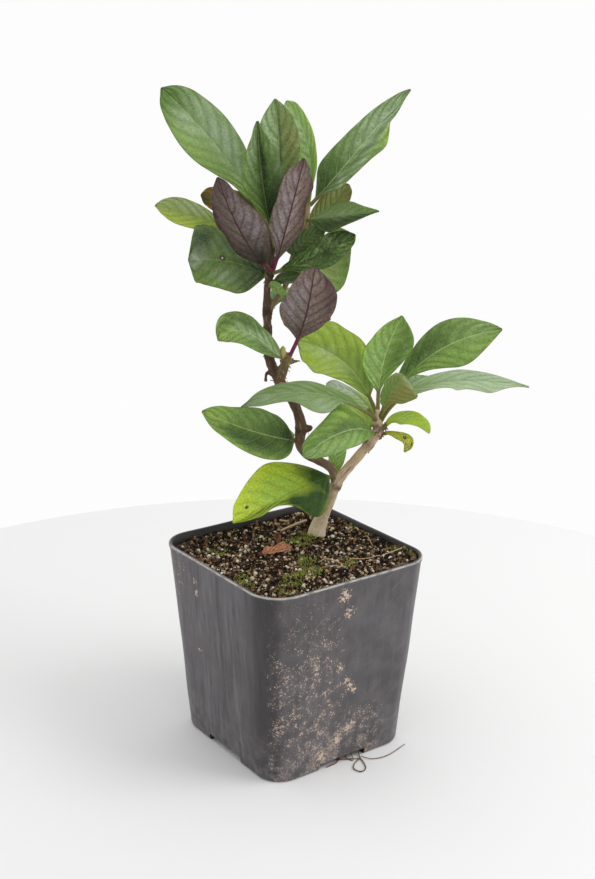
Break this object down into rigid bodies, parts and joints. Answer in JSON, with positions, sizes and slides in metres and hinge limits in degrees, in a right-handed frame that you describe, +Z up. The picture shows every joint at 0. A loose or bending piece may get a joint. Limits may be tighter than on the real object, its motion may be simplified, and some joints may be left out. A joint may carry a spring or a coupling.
{
  "type": "potted honeysuckle",
  "caption": "Young shrub honeysuckle with oval green and purple leaves in a square black nursery pot.",
  "frame": {"origin": "middle of the pot's base, on the pad at its centre, level with the surface that it stands on", "axes": "+Z up along the plant; the pot's flat sides face along X and Y"},
  "size_m": [0.1349, 0.1253, 0.2868],
  "materials": {
    "pot_black": "matte",
    "soil_brown": "matte",
    "bark": "matte",
    "leaf_green": "satin",
    "leaf_lime": "satin",
    "leaf_glaucous": "satin",
    "leaf_purple": "matte",
    "leaf_bronze": "matte",
    "dry_leaf": "matte"
  },
  "bodies": {
    "root": {"pot": "pot_black", "soil": "soil_brown", "woody_stem": "bark", "leaf_crown_purple_left": "leaf_purple", "leaf_crown_purple_right": "leaf_purple", "leaf_crown_upper_left": "leaf_green", "leaf_crown_front_tall": "leaf_green", "leaf_crown_back_tall": "leaf_green", "leaf_crown_back_turned": "leaf_green", "leaf_crown_upper_right": "leaf_green", "leaf_crown_small_left": "leaf_lime", "leaf_crown_broad_left": "leaf_green", "leaf_crown_bronze_left": "leaf_bronze", "leaf_crown_folded_right": "leaf_green", "leaf_crown_blistered_right": "leaf_green", "leaf_crown_pale_right": "leaf_green", "leaf_crown_bronze_right": "leaf_bronze", "leaf_crown_inner_young": "leaf_green", "leaf_crown_drooping_small": "leaf_green", "leaf_crown_under_right": "leaf_green", "leaf_shoot_purple": "leaf_purple", "leaf_shoot_left": "leaf_green", "leaf_low_left": "leaf_green", "leaf_low_yellow": "leaf_lime", "leaf_low_small": "leaf_green", "leaf_rosette_lime_left": "leaf_lime", "leaf_rosette_upright": "leaf_green", "leaf_rosette_upper_right": "leaf_green", "leaf_rosette_long_right": "leaf_glaucous", "leaf_rosette_young_front": "leaf_bronze", "leaf_rosette_long_left": "leaf_glaucous", "leaf_rosette_back_left": "leaf_glaucous", "leaf_rosette_front": "leaf_green", "leaf_rosette_small_right": "leaf_lime", "leaf_rosette_curled": "leaf_lime", "leaf_rear_crown_left": "leaf_green", "leaf_rear_crown_middle": "leaf_green", "leaf_rear_crown_right": "leaf_green", "leaf_rear_shoot": "leaf_green", "leaf_rear_shoot_right": "leaf_green", "leaf_rear_low": "leaf_green", "leaf_rear_rosette_left": "leaf_lime", "leaf_rear_rosette_right": "leaf_green", "dry_leaf_front": "dry_leaf", "dry_leaf_back": "dry_leaf"}
  },
  "joints": []
}
